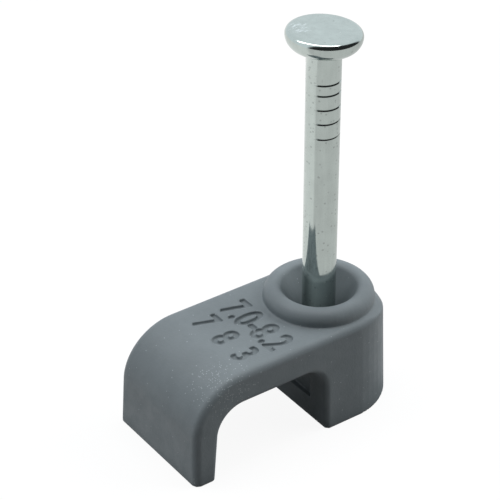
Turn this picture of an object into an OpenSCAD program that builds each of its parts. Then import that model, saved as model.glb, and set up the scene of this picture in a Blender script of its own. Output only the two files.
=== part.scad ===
// Nail-in cable clip: a moulded plastic hook for flat cable with a steel nail waiting in its post.
// Millimetres. The nail's axis is Z, the wall is the plane z = 0, and the cable runs along Y.

/* [Cable channel] */
// Clear width between leg and post at the wall
channel_w = 8.5; // [7:0.1:12]
// Clear height from the wall to the roof
channel_h = 4.8; // [4:0.1:7]
// Radius of the roof's corner on the leg side
channel_arch_r = 1.95; // [1:0.05:2.6]
// Fillet between the roof and the post
channel_fillet_r = 1.55; // [0.6:0.05:2.4]
// How far the leg's inner face leans into the channel by the time it reaches the roof's corner
channel_lean = 0.3; // [0.05:0.05:0.6]
// Rounding of the edge round the channel's two mouths
mouth_r = 0.35; // [0.2:0.05:0.5]

/* [Hook] */
// Length of the clip along the cable, at the wall
body_d = 8.65; // [7.5:0.05:12]
// Thickness of the leg at its foot
leg_t = 1.55; // [1.2:0.05:2.5]
// Thickness of the bridge over the cable
bridge_t = 2.1; // [1.6:0.1:3.2]
// Outer radius of the arch between bridge and leg
arch_r = 3.75; // [3:0.05:4.4]
// Rounding of the outer edges
edge_r = 0.5; // [0.3:0.05:0.7]
// Draft of all outer walls, in degrees
draft = 2.2; // [1:0.1:3.5]

/* [Post] */
// From the nail's axis to the post's channel face
post_in = 2.47; // [2.3:0.05:3.5]
// How far the axis of the post's round end lies beyond the nail's axis
round_shift = 0.05; // [0.02:0.01:0.4]
// Rounding of the post's far shoulder under the collar
shoulder_r = 1.5; // [0.8:0.05:1.8]
// How far the axis of the shoulder's rounding lies from the nail's axis, towards the channel
shoulder_back = 1; // [0.8:0.05:1.3]
// Width of the moulding pocket in the channel face
pocket_w = 5; // [3:0.1:5.6]
// Depth of the moulding pocket
pocket_depth = 0.35; // [0.2:0.05:0.7]
// Height of the pocket's lower edge above the wall
pocket_sill = 1.45; // [0.8:0.05:1.8]
// Height of the pocket
pocket_h = 1.6; // [1:0.1:1.8]

/* [Collar] */
// Radius of the collar's crest
collar_r = 2.8; // [2.5:0.05:3.1]
// Radius of the collar's outer roll
collar_roll_r = 0.77; // [0.5:0.01:0.95]
// Height of the roll's centre above the flat top
collar_rise = 0.23; // [0.05:0.01:0.5]
// Rounding of the collar's inner edge
collar_lip_r = 0.45; // [0.3:0.05:1]
// Slope of the flared recess round the nail, in degrees from the flat top
recess_slope = 62; // [50:1:72]

/* [Nail] */
// Diameter of the shank
shank_d = 2.16; // [1.6:0.02:2.4]
// Overall length
nail_l = 25; // [20:0.5:40]
// Height of the nail's tip above the wall
tip_z = 0.9; // [0.2:0.1:1.5]
// Length of the point
point_l = 2.6; // [1.5:0.1:4]
// Diameter of the blunt tip
tip_d = 0.3; // [0.1:0.05:0.6]
// Diameter of the head
head_d = 4.7; // [3.6:0.02:5.2]
// Thickness of the head
head_t = 1.12; // [0.8:0.02:1.6]
// Rounding of the head's upper rim
head_rim_r = 0.34; // [0.1:0.02:0.4]
// Radius of the head's curved side below the rim
head_side_r = 0.9; // [0.7:0.05:1.2]
// Lean of the head against the shank, in degrees
head_lean = 3.2; // [0.5:0.1:5]
// Side that the head leans to, as an angle from +X in degrees
head_lean_dir = -10; // [-180:5:180]
// Number of grip marks on each side of the shank
grip_count = 5; // [1:1:8]
// Distance from the head's top to the first grip mark
grip_start = 3.1; // [2.2:0.1:6]
// Distance between grip marks
grip_pitch = 1.02; // [0.6:0.02:1.6]
// Depth of a grip mark
grip_depth = 0.05; // [0.02:0.01:0.1]
// Radius of the jaw's edge that pressed a grip mark
grip_r = 0.12; // [0.1:0.01:0.2]
// Angle that a grip mark runs round the shank, in degrees
grip_span = 115; // [60:5:150]

/* [Fit] */
// Gap between the nail and the wall of the bore
nail_gap = 0.02; // [0.01:0.01:0.1]

/* [Hidden] */
$fn = 96;

// How far the arc of a rounded edge stands past the faces that trim it
trim = 0.006;
// How far the arc of a corner in the side view stands past the flats that it joins
corner_trim = 0.003;
// How far the dome of the post's shoulder stands past the wall and the flat top that it trims
shoulder_past = 0.03;
// How far a shape runs past the face that it cuts or stands on
past = 1;

top_z = channel_h + bridge_t;
half_d = body_d / 2;
post_r = half_d + corner_trim;
channel_post_x = -post_in;
channel_leg_x = channel_post_x - channel_w;
leg_x = channel_leg_x - leg_t;

// Axis of the outer arch between the flat top and the leaning face of the leg
arch_z = top_z - arch_r + corner_trim;
arch_x = leg_x + arch_z * tan(draft) + (arch_r - corner_trim) / cos(draft);

// Centre of the rounding between the flat top and the leaning front and back faces
edge_z = top_z - edge_r + trim;
edge_y = half_d - edge_z * tan(draft) - (edge_r - trim) / cos(draft);

// Centres of the channel's two upper corners
corner_z = channel_h - channel_arch_r + corner_trim;
lean = atan(channel_lean / corner_z);
corner_x = channel_leg_x + channel_lean + (channel_arch_r - corner_trim) / cos(lean);
fillet_z = channel_h - channel_fillet_r + corner_trim;
fillet_x = channel_post_x - channel_fillet_r + corner_trim;

shank_r = shank_d / 2;
bore_r = shank_r + nail_gap;
head_r = head_d / 2;
head_top_z = tip_z + nail_l;

// Centre of the collar's inner rounding, and where the recess's wall leaves it
lip_z = top_z + collar_rise + collar_roll_r - collar_lip_r + corner_trim;
wall_r = collar_r - (collar_lip_r - corner_trim) * sin(recess_slope);
wall_z = lip_z + (collar_lip_r - corner_trim) * cos(recess_slope);

// What a rounded corner leaves out: all beyond an arc, between two directions from the arc's centre
module corner_waste(r, from, to) {
  mid = (from + to) / 2;
  difference() {
    polygon([
      [0, 0],
      2 * r * [cos(from), sin(from)],
      4 * r * [cos(mid), sin(mid)],
      2 * r * [cos(to), sin(to)]
    ]);
    circle(r);
  }
}

// Round of the post, whose far half is its end
module post_round() {
  intersection() {
    translate([round_shift, 0, 0])
      rotate_extrude()
        difference() {
          polygon([[0, 0], [post_r, 0], [post_r - top_z * tan(draft), top_z], [0, top_z]]);
          translate([edge_y + corner_trim, edge_z]) corner_waste(edge_r, draft, 90);
        }
    shoulder();
  }
}

// Dome that rounds off the post's far shoulder and runs out towards its two sides
module shoulder() {
  crown_z = top_z + shoulder_past;
  dome_r = round_shift + shoulder_back + post_r + shoulder_past;
  arc_z = crown_z - shoulder_r + corner_trim;
  arc_r = dome_r - arc_z * tan(draft) - (shoulder_r - corner_trim) / cos(draft);
  translate([-shoulder_back, 0, 0])
    rotate_extrude()
      difference() {
        polygon([
          [0, -past], [dome_r + past * tan(draft), -past], [dome_r - crown_z * tan(draft), crown_z],
          [0, crown_z]
        ]);
        translate([arc_r, arc_z]) corner_waste(shoulder_r, draft, 90);
      }
}

// Side view of leg, arch, bridge and the straight half of the post
module hook_outline() {
  difference() {
    polygon([
      [leg_x, 0], [leg_x + top_z * tan(draft), top_z], [round_shift, top_z], [round_shift, 0]
    ]);
    translate([arch_x, arch_z]) corner_waste(arch_r, 90, 180 - draft);
  }
}

// Section behind the rounded front edge, measured from the arch's axis and from the rounding's centre
module edge_section(inner) {
  reach = edge_z - arch_z;
  front = edge_r - trim;
  back = -2 * body_d;
  difference() {
    polygon([[inner, front], [2 * reach, front], [2 * reach, back], [inner, back]]);
    translate([reach, 0]) corner_waste(edge_r, 0, 90);
  }
}

// All that lies behind the rounded front edge, along bridge, arch and leg
module behind_front_edge() {
  leg_run = arch_z / cos(draft) + past;
  bridge_run = round_shift - arch_x;
  translate([arch_x, -edge_y, edge_z])
    rotate([-draft, 0, 0])
      translate([0, 0, arch_z - edge_z])
        rotate([90, 0, 0]) {
          translate([bridge_run, 0]) along(90, bridge_run) edge_section(-top_z);
          rotate_extrude(angle = 90 - draft, start = 90) edge_section(0);
          along(180 - draft, leg_run) edge_section(0);
        }
}

// A section that stands at an angle from the axis, drawn straight on in the direction of growing angle
module along(angle, run) {
  rotate([0, 0, angle])
    rotate([90, 0, 0])
      translate([0, 0, -run])
        linear_extrude(run) children();
}

// Leg, arch, bridge and the straight half of the post, still without the channel
module hook() {
  intersection() {
    translate([0, body_d, 0])
      rotate([90, 0, 0])
        linear_extrude(2 * body_d) hook_outline();
    behind_front_edge();
    mirror([0, 1, 0]) behind_front_edge();
  }
}

// Side view of the cable channel
module channel_outline() {
  difference() {
    polygon([
      [channel_leg_x - past * tan(lean), -past], [channel_leg_x + channel_h * tan(lean), channel_h],
      [channel_post_x, channel_h], [channel_post_x, -past]
    ]);
    translate([corner_x, corner_z]) corner_waste(channel_arch_r, 90, 180 - lean);
    translate([fillet_x, fillet_z]) corner_waste(channel_fillet_r, 0, 90);
  }
}

module channel() {
  translate([0, body_d, 0])
    rotate([90, 0, 0])
      linear_extrude(2 * body_d) channel_outline();
}

// What a rounded edge leaves out, at a distance r from the axis of the channel's corner
module mouth_section(r) {
  inset = mouth_r - trim;
  translate([r + inset, -inset])
    difference() {
      translate([-mouth_r - trim, 0]) square(mouth_r + trim);
      circle(mouth_r);
    }
}

// Rounding of the channel's front mouth, from foot to foot
module mouth_rounding() {
  leg_run = corner_z / cos(lean) + past;
  post_run = fillet_z + past;
  translate([0, channel_h * tan(draft) - half_d, channel_h])
    rotate([90 - draft, 0, 0]) {
      translate([corner_x, corner_z - channel_h]) {
        along(180 - lean, leg_run) mouth_section(channel_arch_r);
        rotate_extrude(angle = 90 - lean, start = 90) mouth_section(channel_arch_r);
      }
      translate([fillet_x, fillet_z - channel_h]) {
        along(90, fillet_x - corner_x) mouth_section(channel_fillet_r);
        rotate_extrude(angle = 90) mouth_section(channel_fillet_r);
        translate([0, -post_run]) along(0, post_run) mouth_section(channel_fillet_r);
      }
    }
}

// Shallow pocket that the moulding core leaves in the post's channel face
module pocket() {
  translate([channel_post_x - past, -pocket_w / 2, pocket_sill])
    cube([past + pocket_depth, pocket_w, pocket_h]);
}

// Hole of the nail: a bore from the wall up, a flared recess and the rounding of its lip
module nail_hole() {
  flare_z = wall_z - (wall_r - bore_r) * tan(recess_slope);
  mouth_z = wall_z + past * tan(recess_slope);
  rotate_extrude() {
    polygon([
      [0, -past], [bore_r, -past], [bore_r, flare_z], [wall_r + past, mouth_z], [0, mouth_z]
    ]);
    translate([collar_r, lip_z]) corner_waste(collar_lip_r, 90, 90 + recess_slope);
  }
}

// Rolled collar, rooted in the flat top and still without the hole
module collar() {
  crest = collar_rise + collar_roll_r;
  translate([0, 0, top_z])
    rotate_extrude()
      difference() {
        translate([0, -past]) square([collar_r + collar_roll_r, past + crest]);
        translate([collar_r, collar_rise]) corner_waste(collar_roll_r, 0, 90);
      }
}

module clip_body() {
  color("slategray")
    difference() {
      union() {
        hook();
        post_round();
        collar();
      }
      channel();
      mouth_rounding();
      mirror([0, 1, 0]) mouth_rounding();
      pocket();
      nail_hole();
    }
}

// Pointed wire of the nail
module shank() {
  rotate_extrude()
    polygon([
      [0, tip_z], [tip_d / 2, tip_z], [shank_r, tip_z + point_l],
      [shank_r, head_top_z - head_t / 2], [0, head_top_z - head_t / 2]
    ]);
}

// Flat head with a rounded rim and a side that curves in under it
module head() {
  rotate_extrude()
    difference() {
      translate([0, -head_t]) square([head_r, head_t]);
      translate([head_r - head_rim_r, -head_rim_r]) corner_waste(head_rim_r, 0, 90);
      translate([head_r - head_side_r, -head_rim_r]) corner_waste(head_side_r, 270, 360);
    }
}

// Marks of the two jaws that gripped the wire while the head was struck
module grip_marks() {
  for (i = [0 : grip_count - 1], side = [-90, 90])
    translate([0, 0, head_top_z - grip_start - i * grip_pitch])
      rotate_extrude(angle = grip_span, start = side - grip_span / 2)
        translate([shank_r + grip_r - grip_depth, 0]) circle(grip_r);
}

module nail() {
  color("silver")
    difference() {
      union() {
        shank();
        translate([0, 0, head_top_z])
          rotate([0, 0, head_lean_dir])
            rotate([0, head_lean, 0]) head();
      }
      grip_marks();
    }
}

clip_body();
nail();
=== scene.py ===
import math

import bpy
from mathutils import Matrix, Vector


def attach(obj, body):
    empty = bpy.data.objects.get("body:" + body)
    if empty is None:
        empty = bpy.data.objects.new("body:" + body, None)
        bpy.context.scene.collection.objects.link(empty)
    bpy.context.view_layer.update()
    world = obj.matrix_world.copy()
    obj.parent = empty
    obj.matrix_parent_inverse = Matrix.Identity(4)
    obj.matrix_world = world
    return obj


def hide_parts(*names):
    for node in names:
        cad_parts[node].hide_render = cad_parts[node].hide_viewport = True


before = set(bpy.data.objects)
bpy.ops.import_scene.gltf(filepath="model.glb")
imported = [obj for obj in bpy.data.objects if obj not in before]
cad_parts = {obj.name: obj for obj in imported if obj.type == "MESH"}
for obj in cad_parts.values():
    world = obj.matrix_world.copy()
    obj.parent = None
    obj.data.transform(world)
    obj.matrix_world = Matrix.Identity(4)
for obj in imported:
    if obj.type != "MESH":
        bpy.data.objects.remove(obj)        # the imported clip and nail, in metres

bl_info = {
    "name": "Nail-in Cable Clip",
    "version": (1, 0, 0),
    "blender": (4, 5, 0),
    "location": "3D View > Sidebar > Cable Clip",
    "description": "Dresses a moulded cable clip and its zinc-plated nail on a white stage",
    "category": "Add Mesh",
}

# Pieces are shaped in millimetres and brought back to metres when they are done
PER_METRE = 1000.0
# Height of the moulding's flat top
CLIP_TOP = 6.9

# Numerals: where each line's feet stand, and its width and spacing against the built-in face
UPPER_FEET_X = -5.97
UPPER_WIDTH = 0.75
UPPER_SPACING = 1.0
LOWER_FEET_X = -8.25
LOWER_WIDTH = 0.8
LOWER_SPACING = 2.1
NUMERAL_MIDDLE_Y = -0.25
NUMERAL_BEVEL = 0.07
# Height of a numeral of the built-in face, as a share of its size
NUMERAL_SHARE = 0.7

# Moulding: voxel that softens the edges, rounds of smoothing, and most triangles left
VOXEL = 0.05
SMOOTHINGS = 7
MOST_TRIANGLES = 190000

# Nail: points round it, heights of the plain shank's rings, and rings of the curves and the top
NAIL_ROUND = 128
SHANK_RINGS = (6.0, 9.0, 12.0, 15.0)
CURVE_STEPS = 8
TOP_RINGS = (0.98, 0.7, 0.4, 0.15)
# Gap to the next ring that keeps the shank's shading straight beside a corner
NEAR_RING = 0.05
# How far a point may lie from a height and still belong to it
LEVEL_SLACK = 0.01
CREASE_ANGLE = math.radians(35.0)

# Grip marks: how far each slipped from its even place, from the head down
GRIP_SLIPS = (-0.14, 0.18, 0.23, 0.29, 0.28)
# Rings of a mark, in half widths from its middle, of which the outer two keep the shading straight
GRIP_RINGS = (-1.6, -1.0, -0.5, 0.0, 0.5, 1.0, 1.6)
# Rings that are pressed in, with each one's share of the depth
GRIP_PRESSES = ((-0.5, 0.6), (0.0, 1.0), (0.5, 0.6))
# Shares of the span that are pressed one after another, so that the ends fade out
GRIP_FADES = (1.0, 0.9, 0.78)
# How much shallower each mark is than the one above it, as a share of the first
GRIP_LOSS = 0.09

# Finish of the plastic, in metres: middle of the rubbed patch, and from where to where it fades
RUB_PLACE = (-0.0098, -0.0032, 0.0058)
RUB_FADE = (0.0006, 0.0024)
# Shares of the cells that hold a pale speck
STRAY_SPECKS = 0.012
RUB_SPECKS = 0.55

# Finish of the plate, in metres: heights under the top between which the specks grow fewer
SPECK_FADE = (0.0016, 0.0011)
SHANK_SPECKS = 0.45
HEAD_SPECKS = 0.03
# Painted shade in the grip marks: how it fades across a grip mark, and away from the jaws towards
# the plane Y = 0
GROOVE_SHADE_FADE = (0.00001, 0.00006)
JAW_FADE = (0.00045, 0.0007)
# Scratches: where they are thickest, how far from there, and how far under the top they end
SCRATCH_X = -0.0011
SCRATCH_Y = 0.00085
SCRATCH_FADE = (0.0003, 0.0012)
SCRATCH_DEPTHS = (0.0004, 0.0002)
SCRATCH_TURN = math.radians(33.0)

# Stage, in metres: floor, and the side on which the plate sees it brightest
FLOOR_SIZE = 4.0
BRIGHT_SIDE = (-0.545, 0.839, 0.0)
BRIGHT_FADE = (0.34, 0.56)
DULL_LEVEL = 0.76
# Patch of floor under the clip, and the level of the painted shadow that dims it in reflections
CLIP_MIDDLE_X = -0.004
UNDER_FADE_X = (0.0078, 0.0092)
UNDER_FADE_Y = (0.0042, 0.0062)
UNDER_SHADOW_LEVEL = 0.2
# What the camera sees of the floor: level of its glow, and the glow's share
WHITE_LEVEL = 1.02
WHITE_SHARE = 0.9
# Room: where its front passes into its back, and how it darkens towards the horizon
FRONT_FADE = (-0.28, -0.06)
HORIZON_FADE = (0.0, 0.45)
HORIZON_LEVEL = 0.05
# Lamps and camera
KEY_X = -0.034
KEY_Y = 0.055
# Width of the overhead light as a share of its length
KEY_SLIMNESS = 0.18
SIDE_PLACE = (0.173, -0.083, 0.127)
SIDE_TARGET = (0.0, 0.0, 0.01)
SENSOR_WIDTH = 36.0
NEAREST = 0.005
FARTHEST = 10.0


# Properties

class ClipSettings(bpy.types.PropertyGroup):
    """Finish and numerals of the moulded clip"""

    plastic: bpy.props.FloatVectorProperty(
        name="Plastic", description="Colour of the moulded plastic",
        subtype="COLOR", size=3, min=0.0, max=1.0, default=(0.18, 0.207, 0.219))
    plastic_shade: bpy.props.FloatVectorProperty(
        name="Plastic Shade", description="Darker tone in the plastic's mottling",
        subtype="COLOR", size=3, min=0.0, max=1.0, default=(0.165, 0.190, 0.201))
    scuff: bpy.props.FloatVectorProperty(
        name="Scuff", description="Pale specks and rubbed grain on the plastic",
        subtype="COLOR", size=3, min=0.0, max=1.0, default=(0.36, 0.40, 0.41))
    upper_numerals: bpy.props.StringProperty(
        name="Upper Numerals", description="Sunk line next to the collar: cable width in mm",
        default="7.0-8.2")
    lower_numerals: bpy.props.StringProperty(
        name="Lower Numerals", description="Sunk line next to the shoulder: plain numbers",
        default="783")
    upper_height: bpy.props.FloatProperty(
        name="Upper Height", description="Height of the numerals next to the collar",
        unit="LENGTH", default=0.00193, min=0.0005, max=0.003, precision=5)
    lower_height: bpy.props.FloatProperty(
        name="Lower Height", description="Height of the numerals next to the shoulder",
        unit="LENGTH", default=0.00175, min=0.0005, max=0.003, precision=5)
    sunk_depth: bpy.props.FloatProperty(
        name="Sunk Depth", description="Depth of the numerals under the flat top",
        unit="LENGTH", default=0.0002, min=0.00005, max=0.0005, precision=5)
    grain_size: bpy.props.FloatProperty(
        name="Grain Size", description="Spacing of the moulded grain",
        unit="LENGTH", default=0.00016, min=0.00005, max=0.001, precision=5)


class NailSettings(bpy.types.PropertyGroup):
    """Sizes and finish of the nail"""

    zinc: bpy.props.FloatVectorProperty(
        name="Zinc", description="Colour of the zinc plate",
        subtype="COLOR", size=3, min=0.0, max=1.0, default=(0.53, 0.591, 0.561))
    zinc_shade: bpy.props.FloatVectorProperty(
        name="Zinc Shade", description="Darker tone in the plate's clouding",
        subtype="COLOR", size=3, min=0.0, max=1.0, default=(0.457, 0.506, 0.482))
    # Stain colour: real dark specks on the plate, and also painted shade in the grip marks
    stain_and_shade: bpy.props.FloatVectorProperty(
        name="Stain", description="Dark specks on the plate and dirt in its grip marks",
        subtype="COLOR", size=3, min=0.0, max=1.0, default=(0.16, 0.17, 0.17))
    rubbed: bpy.props.FloatVectorProperty(
        name="Rubbed", description="Pale scratches on the head",
        subtype="COLOR", size=3, min=0.0, max=1.0, default=(0.78, 0.84, 0.84))
    shank_d: bpy.props.FloatProperty(
        name="Shank Diameter", description="Thickness of the wire",
        unit="LENGTH", default=0.00216, min=0.001, max=0.004, precision=5)
    length: bpy.props.FloatProperty(
        name="Length", description="From the point to the top of the head",
        unit="LENGTH", default=0.025, min=0.01, max=0.05, precision=5)
    tip_z: bpy.props.FloatProperty(
        name="Point Height", description="Height of the point above the wall",
        unit="LENGTH", default=0.0009, min=0.0, max=0.003, precision=5)
    tip_d: bpy.props.FloatProperty(
        name="Point Diameter", description="Blunt end of the point",
        unit="LENGTH", default=0.0003, min=0.0001, max=0.001, precision=5)
    point_l: bpy.props.FloatProperty(
        name="Point Length", description="Length of the taper",
        unit="LENGTH", default=0.0026, min=0.001, max=0.006, precision=5)
    head_d: bpy.props.FloatProperty(
        name="Head Diameter", description="Width of the head",
        unit="LENGTH", default=0.0047, min=0.003, max=0.008, precision=5)
    head_t: bpy.props.FloatProperty(
        name="Head Thickness", description="Thickness of the head",
        unit="LENGTH", default=0.00112, min=0.0006, max=0.002, precision=5)
    head_rim_r: bpy.props.FloatProperty(
        name="Rim Radius", description="Rounding between the head's top and side",
        unit="LENGTH", default=0.00034, min=0.0001, max=0.0005, precision=5)
    head_side_r: bpy.props.FloatProperty(
        name="Side Radius", description="Rounding of the head's side towards its underside",
        unit="LENGTH", default=0.0009, min=0.0005, max=0.0015, precision=5)
    head_lean: bpy.props.FloatProperty(
        name="Head Lean", description="Tilt of the head on the shank",
        subtype="ANGLE", default=math.radians(3.2), min=0.0, max=math.radians(10.0))
    head_lean_dir: bpy.props.FloatProperty(
        name="Lean Direction", description="Side that the head dips towards, about +Z from +X",
        subtype="ANGLE", default=math.radians(-10.0))
    grip_count: bpy.props.IntProperty(
        name="Grip Marks", description="Number of grip marks under the head",
        default=5, min=0, max=12)
    grip_start: bpy.props.FloatProperty(
        name="First Grip Mark", description="From the top of the head to the first mark",
        unit="LENGTH", default=0.0031, min=0.002, max=0.01, precision=5)
    grip_pitch: bpy.props.FloatProperty(
        name="Grip Pitch", description="Spacing of the grip marks",
        unit="LENGTH", default=0.00102, min=0.0005, max=0.002, precision=5)
    grip_depth: bpy.props.FloatProperty(
        name="Grip Depth", description="Depth of the first grip mark",
        unit="LENGTH", default=0.00005, min=0.00001, max=0.0001, precision=6)
    grip_half_w: bpy.props.FloatProperty(
        name="Grip Half Width", description="Half the width of a grip mark",
        unit="LENGTH", default=0.000065, min=0.00005, max=0.0003, precision=6)
    grip_span: bpy.props.FloatProperty(
        name="Grip Span", description="Angle that each jaw's marks reach round the shank",
        subtype="ANGLE", default=math.radians(130.0), min=0.0, max=math.radians(170.0))


class StageSettings(bpy.types.PropertyGroup):
    """Floor, light and camera"""

    floor: bpy.props.FloatVectorProperty(
        name="Floor", description="Colour of the floor",
        subtype="COLOR", size=3, min=0.0, max=1.0, default=(0.86, 0.86, 0.86))
    floor_shade: bpy.props.FloatVectorProperty(
        name="Floor Bounce", description="Floor colour as it lights the object from below",
        subtype="COLOR", size=3, min=0.0, max=1.0, default=(0.15, 0.15, 0.15))
    back_level: bpy.props.FloatProperty(
        name="Back Level", description="Brightness of the room behind the object",
        default=1.0, min=0.0, max=3.0)
    front_level: bpy.props.FloatProperty(
        name="Front Level", description="Brightness of the room in front of the object",
        default=0.03, min=0.0, max=3.0)
    key_power: bpy.props.FloatProperty(
        name="Key Power", description="Power of the soft light overhead, in watts",
        default=0.23, min=0.0, max=10.0)
    key_size: bpy.props.FloatProperty(
        name="Key Size", description="Length of the soft light overhead",
        unit="LENGTH", default=0.3, min=0.01, max=1.0)
    key_height: bpy.props.FloatProperty(
        name="Key Height", description="Height of the soft light above the floor",
        unit="LENGTH", default=0.22, min=0.05, max=1.0)
    side_power: bpy.props.FloatProperty(
        name="Side Power", description="Power of the soft light beside the post, in watts",
        default=0.32, min=0.0, max=10.0)
    side_size: bpy.props.FloatProperty(
        name="Side Size", description="Width of the soft light beside the post",
        unit="LENGTH", default=0.175, min=0.01, max=1.0)
    room: bpy.props.FloatVectorProperty(
        name="Room", description="Tint of the room light",
        subtype="COLOR", size=3, min=0.0, max=1.2, default=(0.94, 1.0, 1.05))
    azimuth: bpy.props.FloatProperty(
        name="Azimuth", description="Camera direction about +Z from -Y",
        subtype="ANGLE", default=math.radians(-35.535))
    elevation: bpy.props.FloatProperty(
        name="Elevation", description="Camera direction above the floor",
        subtype="ANGLE", default=math.radians(33.369))
    camera_place: bpy.props.FloatVectorProperty(
        name="Camera Place", description="Where the camera stands",
        subtype="TRANSLATION", unit="LENGTH", size=3, precision=5,
        default=(-0.06554, -0.08425, 0.08065))
    lens: bpy.props.FloatProperty(
        name="Lens", description="Focal length in mm on a 36 mm sensor",
        default=146.6, min=10.0, max=500.0)


# Modelling helpers

def clear_selection():
    """Leaves edit mode and deselects every object."""
    if bpy.context.mode != "OBJECT":
        bpy.ops.object.mode_set(mode="OBJECT")
    bpy.ops.object.select_all(action="DESELECT")


def take(piece):
    """Makes one object the only selected and active one."""
    clear_selection()
    piece.select_set(True)
    bpy.context.view_layer.objects.active = piece


def resize_object(piece, factor):
    """Scales a piece about the origin and keeps the scale in its mesh."""
    take(piece)
    piece.scale = (factor, factor, factor)
    bpy.ops.object.transform_apply(location=True, rotation=True, scale=True)


def apply_modifier(piece, kind, **settings):
    """Adds one modifier to a piece and applies it."""
    take(piece)
    modifier = piece.modifiers.new(kind.title(), kind)
    for name, value in settings.items():
        setattr(modifier, name, value)
    bpy.ops.object.modifier_apply(modifier=modifier.name)


def close_mesh(piece, distance):
    """Merges doubles and turns the faces outwards."""
    take(piece)
    bpy.ops.object.mode_set(mode="EDIT")
    bpy.ops.mesh.select_all(action="SELECT")
    bpy.ops.mesh.remove_doubles(threshold=distance)
    bpy.ops.mesh.normals_make_consistent(inside=False)
    bpy.ops.object.mode_set(mode="OBJECT")


def select_points(piece, wanted):
    """Selects the points of the edited piece for which wanted(place) is true."""
    bpy.ops.object.mode_set(mode="EDIT")
    bpy.ops.mesh.select_mode(type="VERT")
    bpy.ops.mesh.select_all(action="DESELECT")
    bpy.ops.object.mode_set(mode="OBJECT")
    for point in piece.data.vertices:
        point.select = wanted(point.co)
    bpy.ops.object.mode_set(mode="EDIT")


def draw_ring(ring, height, radius):
    """Draws the selected end of a turned piece on to a new height and radius."""
    old_height, old_radius = ring
    bpy.ops.mesh.extrude_region_move(
        TRANSFORM_OT_translate={"value": (0.0, 0.0, height - old_height)})
    if radius != old_radius:
        factor = radius / old_radius
        bpy.ops.transform.resize(value=(factor, factor, 1.0))
    return (height, radius)


def dress(piece, node, material):
    """Puts a finished piece in place of its CAD node."""
    piece.data.materials.clear()
    piece.data.materials.append(material)
    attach(piece, "root")
    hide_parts(node)


# Material helpers

class Tree:
    """Adds and links nodes in one node tree."""

    def __init__(self, tree):
        self.tree = tree

    def add(self, kind, inputs=None, **settings):
        """Adds a node, sets it up, and links or fills its inputs by name."""
        node = self.tree.nodes.new(kind)
        for name, value in settings.items():
            setattr(node, name, value)
        for name, value in (inputs or {}).items():
            self.feed(node.inputs[name], value)
        return node

    def feed(self, socket, value):
        """Links an output to a socket, or sets its value."""
        if isinstance(value, bpy.types.NodeSocket):
            self.tree.links.new(value, socket)
        else:
            socket.default_value = value

    def math(self, operation, *values):
        """Adds a Math node and returns its value."""
        node = self.add("ShaderNodeMath", operation=operation)
        for socket, value in zip(node.inputs, values):
            self.feed(socket, value)
        return node.outputs[0]

    def vector(self, operation, first, second=(0.0, 0.0, 0.0), output="Vector"):
        """Adds a Vector Math node and returns one of its outputs."""
        node = self.add("ShaderNodeVectorMath", operation=operation)
        self.feed(node.inputs[0], first)
        self.feed(node.inputs[1], second)
        return node.outputs[output]

    def ramp(self, value, low, high, to_low=0.0, to_high=1.0):
        """Maps a value smoothly from one range to another."""
        node = self.add("ShaderNodeMapRange", interpolation_type="SMOOTHSTEP", inputs={
            "Value": value, "From Min": low, "From Max": high,
            "To Min": to_low, "To Max": to_high})
        return node.outputs["Result"]

    def mix(self, factor, first, second):
        """Mixes two colours by a mask."""
        node = self.add("ShaderNodeMix", data_type="RGBA")
        self.feed(node.inputs["Factor"], factor)
        self.feed(node.inputs[6], first)
        self.feed(node.inputs[7], second)
        return node.outputs[2]

    def stretch(self, vector, scale, rotation=(0.0, 0.0, 0.0)):
        """Turns and stretches coordinates."""
        node = self.add("ShaderNodeMapping", inputs={
            "Vector": vector, "Rotation": rotation, "Scale": scale})
        return node.outputs["Vector"]


def new_group(name, inputs, outputs):
    """Starts a shader node group and returns its tree with its two ends."""
    group = bpy.data.node_groups.new(name, "ShaderNodeTree")
    for label, kind in inputs:
        group.interface.new_socket(name=label, in_out="INPUT", socket_type=kind)
    for label, kind in outputs:
        group.interface.new_socket(name=label, in_out="OUTPUT", socket_type=kind)
    tree = Tree(group)
    start = tree.add("NodeGroupInput")
    end = tree.add("NodeGroupOutput")
    return tree, start, end


def clouding_group():
    """Soft clouding between two values, for colour and gloss."""
    tree, start, end = new_group("clouding", [
        ("Vector", "NodeSocketVector"), ("Scale", "NodeSocketFloat"),
        ("Low", "NodeSocketFloat"), ("High", "NodeSocketFloat")],
        [("Value", "NodeSocketFloat")])
    noise = tree.add("ShaderNodeTexNoise", inputs={
        "Vector": start.outputs["Vector"], "Scale": start.outputs["Scale"],
        "Detail": 4.0, "Roughness": 0.6})
    value = tree.ramp(
        noise.outputs["Fac"], 0.3, 0.7, start.outputs["Low"], start.outputs["High"])
    tree.feed(end.inputs["Value"], value)
    return tree.tree


def speck_group():
    """Scattered round specks, a share of the cells of a random grid."""
    tree, start, end = new_group("specks", [
        ("Vector", "NodeSocketVector"), ("Scale", "NodeSocketFloat"),
        ("Share", "NodeSocketFloat"), ("Size", "NodeSocketFloat")],
        [("Mask", "NodeSocketFloat")])
    cells = tree.add("ShaderNodeTexVoronoi", inputs={
        "Vector": start.outputs["Vector"], "Scale": start.outputs["Scale"]})
    draw = tree.add("ShaderNodeSeparateColor", inputs={"Color": cells.outputs["Color"]})
    chosen = tree.math("LESS_THAN", draw.outputs["Red"], start.outputs["Share"])
    inner = tree.math("MULTIPLY", start.outputs["Size"], 0.5)
    dot = tree.ramp(cells.outputs["Distance"], inner, start.outputs["Size"], 1.0, 0.0)
    tree.feed(end.inputs["Mask"], tree.math("MULTIPLY", dot, chosen))
    return tree.tree


def use_group(tree, group, **values):
    """Places a node group in a material with its own values."""
    node = tree.add("ShaderNodeGroup", node_tree=group)
    for name, value in values.items():
        tree.feed(node.inputs[name], value)
    return node.outputs[0]


def shared_group(name, maker):
    """Returns a shared node group, made on first use."""
    return bpy.data.node_groups.get(name) or maker()


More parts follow.
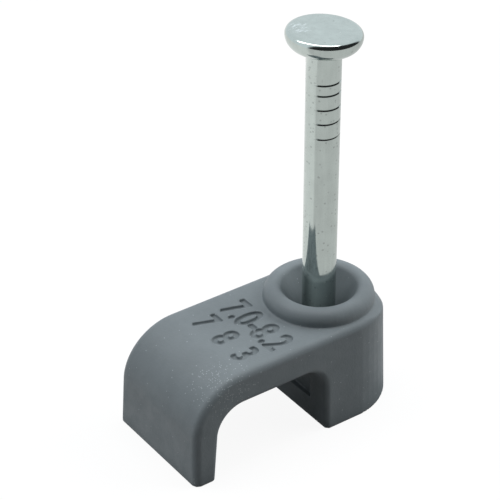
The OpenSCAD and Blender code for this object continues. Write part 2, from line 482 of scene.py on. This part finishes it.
def new_material(name):
    """Starts a material and returns it with its tree, shader and Object coordinates."""
    material = bpy.data.materials.new(name)
    material.use_nodes = True
    material.node_tree.nodes.clear()
    tree = Tree(material.node_tree)
    shader = tree.add("ShaderNodeBsdfPrincipled")
    tree.add("ShaderNodeOutputMaterial", inputs={"Surface": shader.outputs["BSDF"]})
    place = tree.add("ShaderNodeTexCoord").outputs["Object"]
    return material, tree, shader, place


def rgba(color):
    """A colour property as an opaque colour."""
    return (color[0], color[1], color[2], 1.0)


def plastic_material(clip):
    """Matte grey moulded plastic with a fine grain, mottling and pale rubbed specks."""
    material, tree, shader, place = new_material("grey_plastic")
    clouding = shared_group("clouding", clouding_group)
    specks = shared_group("specks", speck_group)
    grain_scale = 1.0 / clip.grain_size

    tone = use_group(tree, clouding, Vector=place, Scale=420.0, Low=0.0, High=1.0)
    color = tree.mix(tone, rgba(clip.plastic_shade), rgba(clip.plastic))

    # Rubbed patch on the shoulder's front corner, where specks are thickest
    off = tree.vector("DISTANCE", place, RUB_PLACE, "Value")
    patch = tree.ramp(off, *RUB_FADE, 1.0, 0.0)
    share = tree.math("MULTIPLY_ADD", patch, RUB_SPECKS, STRAY_SPECKS)
    dots = use_group(tree, specks, Vector=place, Scale=8200.0, Share=share, Size=0.42)
    color = tree.mix(tree.math("MULTIPLY", dots, 0.8), color, rgba(clip.scuff))
    tree.feed(shader.inputs["Base Color"], color)

    gloss = use_group(tree, clouding, Vector=place, Scale=1500.0, Low=0.5, High=0.62)
    tree.feed(shader.inputs["Roughness"], gloss)

    grain = tree.add("ShaderNodeTexNoise", inputs={
        "Vector": place, "Scale": grain_scale, "Detail": 3.0, "Roughness": 0.55})
    bump = tree.add("ShaderNodeBump", inputs={
        "Height": grain.outputs["Fac"], "Strength": 0.35, "Distance": 0.00003})
    tree.feed(shader.inputs["Normal"], bump.outputs["Normal"])
    return material


def grip_heights(nail):
    """Heights of the grip marks in metres, from the highest down."""
    top_z = nail.tip_z + nail.length
    return [top_z - nail.grip_start - i * nail.grip_pitch
            + GRIP_SLIPS[i % len(GRIP_SLIPS)] / PER_METRE for i in range(nail.grip_count)]


def zinc_material(nail):
    """Bright zinc plate with drawing lines, dark specks, painted shade in the grip marks and a
    scratched head.
    """
    material, tree, shader, place = new_material("zinc_plate")
    clouding = shared_group("clouding", clouding_group)
    specks = shared_group("specks", speck_group)

    # Drawing lines along the wire
    along = tree.stretch(place, (1.0, 1.0, 0.06))
    tone = use_group(tree, clouding, Vector=place, Scale=900.0, Low=0.0, High=0.5)
    streak = use_group(tree, clouding, Vector=along, Scale=2600.0, Low=0.0, High=0.5)
    tone = tree.math("ADD", tone, streak)
    color = tree.mix(tone, rgba(nail.zinc_shade), rgba(nail.zinc))

    # Dark specks, few of them on the head
    axes = tree.add("ShaderNodeSeparateXYZ", inputs={"Vector": place})
    height = axes.outputs["Z"]
    top_z = nail.tip_z + nail.length
    fade = [top_z - depth for depth in SPECK_FADE]
    share = tree.ramp(height, *fade, SHANK_SPECKS, HEAD_SPECKS)
    dots = use_group(tree, specks, Vector=place, Scale=3600.0, Share=share, Size=0.32)
    color = tree.mix(tree.math("MULTIPLY", dots, 0.35), color, rgba(nail.stain_and_shade))

    # Painted shade in the grip marks, on the two sides where the jaws held
    painted_shade = 0.0
    for level in grip_heights(nail):
        off = tree.math("ABSOLUTE", tree.math("SUBTRACT", height, level))
        painted_shade = tree.math("MAXIMUM", painted_shade, tree.ramp(off, *GROOVE_SHADE_FADE, 1.0, 0.0))
    jaw = tree.ramp(tree.math("ABSOLUTE", axes.outputs["Y"]), *JAW_FADE)
    painted_shade = tree.math("MULTIPLY", tree.math("MULTIPLY", painted_shade, jaw), 0.75)
    color = tree.mix(painted_shade, color, rgba(nail.stain_and_shade))

    # Scratches on the head's top, thickest towards the leg
    off = tree.vector("DISTANCE", place, (SCRATCH_X, SCRATCH_Y, top_z), "Value")
    heap = tree.ramp(off, *SCRATCH_FADE, 0.2, 0.0)
    across = tree.stretch(place, (1.0, 5.0, 1.0), rotation=(0.0, 0.0, SCRATCH_TURN))
    lines = tree.add("ShaderNodeTexNoise", inputs={
        "Vector": across, "Scale": 2400.0, "Detail": 3.0, "Roughness": 0.7})
    scratch = tree.ramp(tree.math("ADD", lines.outputs["Fac"], heap), 0.7, 0.78)
    fade = [top_z - depth for depth in SCRATCH_DEPTHS]
    scratch = tree.math("MULTIPLY", scratch, tree.ramp(height, *fade))
    color = tree.mix(tree.math("MULTIPLY", scratch, 0.9), color, rgba(nail.rubbed))
    tree.feed(shader.inputs["Base Color"], color)
    shader.inputs["Metallic"].default_value = 1.0

    gloss = use_group(tree, clouding, Vector=along, Scale=3000.0, Low=0.07, High=0.15)
    gloss = tree.math("MULTIPLY_ADD", scratch, 0.2, gloss)
    tree.feed(shader.inputs["Roughness"], gloss)

    drawn = tree.add("ShaderNodeTexNoise", inputs={
        "Vector": along, "Scale": 9000.0, "Detail": 2.0})
    bump = tree.add("ShaderNodeBump", inputs={
        "Height": drawn.outputs["Fac"], "Strength": 0.05, "Distance": 0.00001})
    tree.feed(shader.inputs["Normal"], bump.outputs["Normal"])
    return material


# Pieces

def numeral_cutter(words, height, width, spacing, feet_x, depth):
    """A solid of one line of numerals that reads from back to front, in millimetres."""
    clear_selection()
    bpy.ops.object.text_add()
    cutter = bpy.context.active_object
    face = cutter.data
    face.body = words
    face.align_x = "CENTER"
    face.size = height / NUMERAL_SHARE
    face.space_character = spacing
    face.bevel_depth = NUMERAL_BEVEL
    face.extrude = depth - NUMERAL_BEVEL
    take(cutter)
    bpy.ops.object.convert(target="MESH")
    close_mesh(cutter, 0.0001)
    cutter.scale = (width, 1.0, 1.0)
    cutter.rotation_euler = (0.0, 0.0, -math.pi / 2.0)
    cutter.location = (feet_x, NUMERAL_MIDDLE_Y, CLIP_TOP)
    bpy.ops.object.transform_apply(location=True, rotation=True, scale=True)
    return cutter


class CABLECLIP_OT_moulding(bpy.types.Operator):
    """Makes the moulded clip with softened edges and sunk numerals"""

    bl_idname = "cable_clip.moulding"
    bl_label = "Moulded Clip"

    def execute(self, context):
        clip = context.scene.cable_clip
        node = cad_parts["clip_body"]
        piece = bpy.data.objects.new("clip_moulding", node.data.copy())
        context.scene.collection.objects.link(piece)
        resize_object(piece, PER_METRE)
        close_mesh(piece, 0.0005)

        depth = clip.sunk_depth * PER_METRE
        upper = numeral_cutter(
            clip.upper_numerals, clip.upper_height * PER_METRE,
            UPPER_WIDTH, UPPER_SPACING, UPPER_FEET_X, depth)
        lower = numeral_cutter(
            clip.lower_numerals, clip.lower_height * PER_METRE,
            LOWER_WIDTH, LOWER_SPACING, LOWER_FEET_X, depth)
        for cutter in (upper, lower):
            apply_modifier(
                piece, "BOOLEAN", operation="DIFFERENCE", solver="EXACT", use_self=True,
                object=cutter)
            bpy.data.objects.remove(cutter)

        apply_modifier(piece, "REMESH", mode="VOXEL", voxel_size=VOXEL)
        apply_modifier(piece, "SMOOTH", factor=0.5, iterations=SMOOTHINGS)
        # The remesh leaves quads, of two triangles each
        thinning = MOST_TRIANGLES / (2.0 * len(piece.data.polygons))
        apply_modifier(piece, "DECIMATE", decimate_type="COLLAPSE", ratio=min(1.0, thinning))
        take(piece)
        bpy.ops.object.shade_smooth()
        resize_object(piece, 1.0 / PER_METRE)
        dress(piece, "clip_body", plastic_material(clip))
        return {"FINISHED"}


class CABLECLIP_OT_nail(bpy.types.Operator):
    """Turns the nail with its point, grip marks and leaning head"""

    bl_idname = "cable_clip.nail"
    bl_label = "Nail"

    def execute(self, context):
        nail = context.scene.cable_clip_nail
        shank_r = nail.shank_d * PER_METRE / 2.0
        tip_r = nail.tip_d * PER_METRE / 2.0
        tip_z = nail.tip_z * PER_METRE
        top_z = tip_z + nail.length * PER_METRE
        head_r = nail.head_d * PER_METRE / 2.0
        under_z = top_z - nail.head_t * PER_METRE
        rim_r = nail.head_rim_r * PER_METRE
        side_r = nail.head_side_r * PER_METRE
        grip_w = nail.grip_half_w * PER_METRE
        grip_z = [height * PER_METRE for height in grip_heights(nail)]

        clear_selection()
        bpy.ops.mesh.primitive_circle_add(
            vertices=NAIL_ROUND, radius=tip_r, fill_type="NGON", location=(0.0, 0.0, tip_z))
        piece = bpy.context.active_object
        piece.name = "nail_steel"
        bpy.ops.object.transform_apply(location=True, rotation=True, scale=True)
        bpy.ops.object.mode_set(mode="EDIT")
        bpy.ops.mesh.select_all(action="SELECT")

        # Point and plain shank
        ring = draw_ring((tip_z, tip_r), tip_z + nail.point_l * PER_METRE, shank_r)
        for height in (ring[0] + NEAR_RING,) + SHANK_RINGS:
            ring = draw_ring(ring, height, shank_r)
        # Grip marks, from the lowest up
        for height in sorted(grip_z):
            for step in GRIP_RINGS:
                ring = draw_ring(ring, height + step * grip_w, shank_r)
        # Head: underside, curved side, rim and top
        ring = draw_ring(ring, under_z - NEAR_RING, shank_r)
        ring = draw_ring(ring, under_z, shank_r)
        side_z = top_z - rim_r
        side_x = head_r - side_r
        side_turn = math.asin((side_z - under_z) / side_r)
        for step in range(CURVE_STEPS + 1):
            turn = side_turn * (step / CURVE_STEPS - 1.0)
            ring = draw_ring(
                ring, side_z + side_r * math.sin(turn), side_x + side_r * math.cos(turn))
        for step in range(1, CURVE_STEPS + 1):
            turn = math.pi / 2.0 * step / CURVE_STEPS
            ring = draw_ring(
                ring, side_z + rim_r * math.sin(turn), head_r - rim_r + rim_r * math.cos(turn))
        for share in TOP_RINGS:
            ring = draw_ring(ring, top_z, (head_r - rim_r) * share)
        bpy.ops.object.mode_set(mode="OBJECT")

        self.press_grips(piece, sorted(grip_z, reverse=True), shank_r, nail)
        self.lean_head(piece, under_z, top_z, nail)
        close_mesh(piece, 0.0001)
        take(piece)
        bpy.ops.object.shade_smooth_by_angle(angle=CREASE_ANGLE)
        resize_object(piece, 1.0 / PER_METRE)
        dress(piece, "nail", zinc_material(nail))
        return {"FINISHED"}

    def press_grips(self, piece, heights, shank_r, nail):
        """Presses each grip mark's rings in, on the two sides where the jaws held."""
        take(piece)
        reach = nail.grip_span / 2.0
        grip_w = nail.grip_half_w * PER_METRE
        for index, height in enumerate(heights):
            depth = nail.grip_depth * PER_METRE * (1.0 - GRIP_LOSS * index)
            for step, part in GRIP_PRESSES:
                level = height + step * grip_w
                factor = 1.0 - depth * part / (len(GRIP_FADES) * shank_r)
                for width in GRIP_FADES:

                    def pressed(place):
                        """True on this ring, within the stretch on either side."""
                        far = max(1e-6, math.hypot(place.x, place.y))
                        off = math.acos(min(1.0, abs(place.y) / far))
                        return abs(place.z - level) < LEVEL_SLACK and off < reach * width

                    select_points(piece, pressed)
                    bpy.ops.transform.resize(
                        value=(factor, factor, 1.0), center_override=(0.0, 0.0, level))
        bpy.ops.object.mode_set(mode="OBJECT")

    def lean_head(self, piece, under_z, top_z, nail):
        """Tilts the head about the middle of its top."""
        take(piece)
        select_points(piece, lambda place: place.z > under_z - LEVEL_SLACK)
        # With no window a positive value turns clockwise about the axis
        turns = (
            ("Y", -nail.head_lean * math.cos(nail.head_lean_dir)),
            ("X", nail.head_lean * math.sin(nail.head_lean_dir)),
        )
        for axis, turn in turns:
            bpy.ops.transform.rotate(
                value=turn, orient_axis=axis, orient_type="GLOBAL",
                center_override=(0.0, 0.0, top_z))
        bpy.ops.object.mode_set(mode="OBJECT")


# Stage

def floor_material(stage):
    """White floor that keeps a soft shadow and gives little light back to the object."""
    material = bpy.data.materials.new("white_floor")
    material.use_nodes = True
    material.node_tree.nodes.clear()
    tree = Tree(material.node_tree)
    path = tree.add("ShaderNodeLightPath")
    seen = tree.math("MAXIMUM", path.outputs["Is Camera Ray"], path.outputs["Is Glossy Ray"])
    seen = tree.math("MAXIMUM", seen, path.outputs["Is Transmission Ray"])
    color = tree.mix(seen, rgba(stage.floor_shade), rgba(stage.floor))
    matte = tree.add("ShaderNodeBsdfDiffuse", inputs={"Color": color})
    # The plate sees a brighter floor behind and beside the leg than elsewhere
    place = tree.add("ShaderNodeTexCoord").outputs["Object"]
    away = tree.vector("NORMALIZE", place)
    side = tree.vector("DOT_PRODUCT", away, BRIGHT_SIDE, "Value")
    bright = tree.ramp(side, *BRIGHT_FADE, DULL_LEVEL, 1.0)
    # Painted shadow: in reflections the floor's glow is dimmed under the clip itself, where its
    # shadow falls
    axes = tree.add("ShaderNodeSeparateXYZ", inputs={"Vector": place})
    off_y = tree.math("ABSOLUTE", axes.outputs["Y"])
    off_x = tree.math("SUBTRACT", axes.outputs["X"], CLIP_MIDDLE_X)
    off_x = tree.math("ABSOLUTE", off_x)
    under = tree.math(
        "MAXIMUM", tree.ramp(off_y, *UNDER_FADE_Y, UNDER_SHADOW_LEVEL, 1.0),
        tree.ramp(off_x, *UNDER_FADE_X, UNDER_SHADOW_LEVEL, 1.0))
    bright = tree.math("MULTIPLY", bright, under)
    seen_white = tree.math("MULTIPLY", path.outputs["Is Camera Ray"], WHITE_LEVEL)
    level = tree.math("MAXIMUM", bright, seen_white)
    white = tree.add("ShaderNodeEmission", inputs={"Strength": level})
    share = tree.math("MULTIPLY", seen, WHITE_SHARE)
    share = tree.math("MAXIMUM", share, path.outputs["Is Glossy Ray"])
    mixed = tree.add("ShaderNodeMixShader", inputs={"Fac": share})
    tree.feed(mixed.inputs[1], matte.outputs["BSDF"])
    tree.feed(mixed.inputs[2], white.outputs["Emission"])
    tree.add("ShaderNodeOutputMaterial", inputs={"Surface": mixed.outputs["Shader"]})
    return material


def room_world(stage):
    """Soft room light, brighter behind the object than in front, white to the camera."""
    world = bpy.data.worlds.new("room")
    world.use_nodes = True
    world.node_tree.nodes.clear()
    tree = Tree(world.node_tree)
    ray = tree.add("ShaderNodeTexCoord").outputs["Generated"]
    axes = tree.add("ShaderNodeSeparateXYZ", inputs={"Vector": ray})
    level = tree.ramp(axes.outputs["Y"], *FRONT_FADE, stage.front_level, stage.back_level)
    # The room darkens towards the horizon, but not in the plate's reflections
    path = tree.add("ShaderNodeLightPath")
    height = tree.ramp(axes.outputs["Z"], *HORIZON_FADE, HORIZON_LEVEL, 1.0)
    height = tree.math("MAXIMUM", height, path.outputs["Is Glossy Ray"])
    level = tree.math("MULTIPLY", level, height)
    soft = tree.add("ShaderNodeBackground", inputs={
        "Color": rgba(stage.room), "Strength": level})
    white = tree.add("ShaderNodeBackground", inputs={"Color": (1.0, 1.0, 1.0, 1.0)})
    mixed = tree.add("ShaderNodeMixShader", inputs={"Fac": path.outputs["Is Camera Ray"]})
    tree.feed(mixed.inputs[1], soft.outputs["Background"])
    tree.feed(mixed.inputs[2], white.outputs["Background"])
    tree.add("ShaderNodeOutputWorld", inputs={"Surface": mixed.outputs["Shader"]})
    return world


def aim(thing, direction):
    """Turns a camera or lamp to look along a direction."""
    thing.rotation_euler = direction.to_track_quat("-Z", "Y").to_euler()


class CABLECLIP_OT_stage(bpy.types.Operator):
    """Sets up the floor, the soft light and the camera"""

    bl_idname = "cable_clip.stage"
    bl_label = "Stage"

    def execute(self, context):
        stage = context.scene.cable_clip_stage
        clear_selection()
        bpy.ops.mesh.primitive_plane_add(size=FLOOR_SIZE, location=(0.0, 0.0, 0.0))
        floor = bpy.context.active_object
        floor.name = "floor"
        floor.data.materials.append(floor_material(stage))

        context.scene.world = room_world(stage)
        bpy.ops.object.light_add(
            type="AREA", location=(KEY_X, KEY_Y, stage.key_height),
            rotation=(0.0, 0.0, stage.azimuth))
        key = bpy.context.active_object
        key.name = "key_light"
        key.data.shape = "RECTANGLE"
        key.data.size = stage.key_size
        key.data.size_y = KEY_SLIMNESS * stage.key_size
        key.data.energy = stage.key_power
        bpy.ops.object.light_add(type="AREA", location=SIDE_PLACE)
        side = bpy.context.active_object
        side.name = "side_light"
        side.data.shape = "DISK"
        side.data.size = stage.side_size
        side.data.energy = stage.side_power
        side.visible_glossy = False
        aim(side, Vector(SIDE_TARGET) - side.location)

        bpy.ops.object.camera_add(location=stage.camera_place)
        camera = bpy.context.active_object
        camera.name = "camera"
        camera.data.lens = stage.lens
        camera.data.sensor_width = SENSOR_WIDTH
        camera.data.clip_start = NEAREST
        camera.data.clip_end = FARTHEST
        level = math.cos(stage.elevation)
        aim(camera, Vector((
            -math.sin(stage.azimuth) * level, math.cos(stage.azimuth) * level,
            -math.sin(stage.elevation))))
        context.scene.camera = camera
        context.scene.view_settings.view_transform = "Standard"
        return {"FINISHED"}


class CABLECLIP_PT_panel(bpy.types.Panel):
    """Lists the clip's pieces, sizes and finishes"""

    bl_idname = "CABLECLIP_PT_panel"
    bl_label = "Cable Clip"
    bl_space_type = "VIEW_3D"
    bl_region_type = "UI"
    bl_category = "Cable Clip"

    def draw(self, context):
        for operator, group in PANEL_ROWS:
            box = self.layout.box()
            box.operator(operator)
            settings = getattr(context.scene, group)
            for name in settings.bl_rna.properties.keys():
                if name not in ("rna_type", "name"):
                    box.prop(settings, name)


PANEL_ROWS = (
    ("cable_clip.moulding", "cable_clip"),
    ("cable_clip.nail", "cable_clip_nail"),
    ("cable_clip.stage", "cable_clip_stage"),
)

CLASSES = (
    ClipSettings,
    NailSettings,
    StageSettings,
    CABLECLIP_OT_moulding,
    CABLECLIP_OT_nail,
    CABLECLIP_OT_stage,
    CABLECLIP_PT_panel,
)


def register():
    """Adds the classes and the scene's settings."""
    for cls in CLASSES:
        bpy.utils.register_class(cls)
    bpy.types.Scene.cable_clip = bpy.props.PointerProperty(type=ClipSettings)
    bpy.types.Scene.cable_clip_nail = bpy.props.PointerProperty(type=NailSettings)
    bpy.types.Scene.cable_clip_stage = bpy.props.PointerProperty(type=StageSettings)


def unregister():
    """Removes the settings and the classes."""
    del bpy.types.Scene.cable_clip_stage
    del bpy.types.Scene.cable_clip_nail
    del bpy.types.Scene.cable_clip
    for cls in reversed(CLASSES):
        bpy.utils.unregister_class(cls)


def main():
    """Makes every piece and the stage."""
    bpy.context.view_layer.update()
    register()
    bpy.ops.cable_clip.moulding()
    bpy.ops.cable_clip.nail()
    bpy.ops.cable_clip.stage()


if __name__ == "__main__":
    main()
